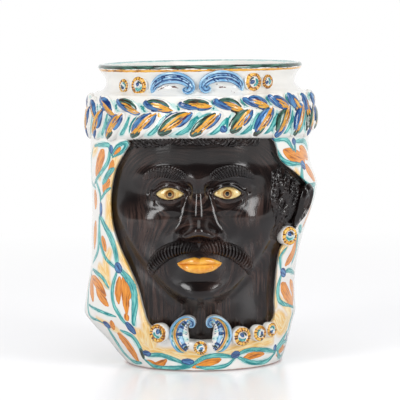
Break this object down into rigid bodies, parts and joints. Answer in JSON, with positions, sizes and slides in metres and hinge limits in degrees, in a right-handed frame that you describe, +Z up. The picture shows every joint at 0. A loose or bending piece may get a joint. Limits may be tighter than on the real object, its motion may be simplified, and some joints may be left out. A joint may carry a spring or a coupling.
{
  "type": "head vase",
  "caption": "Glazed earthenware vase shaped as a turbaned head, with a calm face, a flat foot and a wide round mouth for flowers or a liner.",
  "frame": {"origin": "centre of the flat foot, on the surface that the vase stands on", "axes": "+Z up through the foot and the mouth, -Y towards the front of the face, +X to the viewer's right"},
  "size_m": [0.3009, 0.3027, 0.38],
  "materials": {
    "white_tin_glaze": "gloss",
    "manganese_glaze": "gloss",
    "yellow_glaze": "gloss"
  },
  "bodies": {
    "root": {"base_slab": "white_tin_glaze", "collar_band": "white_tin_glaze", "hood_back": "white_tin_glaze", "hood_left_panel": "white_tin_glaze", "hood_right_panel": "white_tin_glaze", "face_mask": "manganese_glaze", "eyes": "yellow_glaze", "left_brow": "manganese_glaze", "right_brow": "manganese_glaze", "left_moustache": "manganese_glaze", "right_moustache": "manganese_glaze", "upper_lip": "yellow_glaze", "lower_lip": "yellow_glaze", "sideburn": "manganese_glaze", "ear": "manganese_glaze", "ear_stud": "white_tin_glaze", "hairline_curls": "manganese_glaze", "turban_core": "white_tin_glaze", "turban_leaves_upper": "white_tin_glaze", "turban_leaves_lower": "white_tin_glaze", "throat_collar": "white_tin_glaze", "throat_scroll_left": "white_tin_glaze", "throat_scroll_right": "white_tin_glaze", "collar_scroll_left": "white_tin_glaze", "collar_scroll_right": "white_tin_glaze", "throat_large_buttons": "white_tin_glaze", "throat_small_buttons": "white_tin_glaze", "collar_large_buttons": "white_tin_glaze", "collar_small_buttons": "white_tin_glaze"}
  },
  "joints": []
}
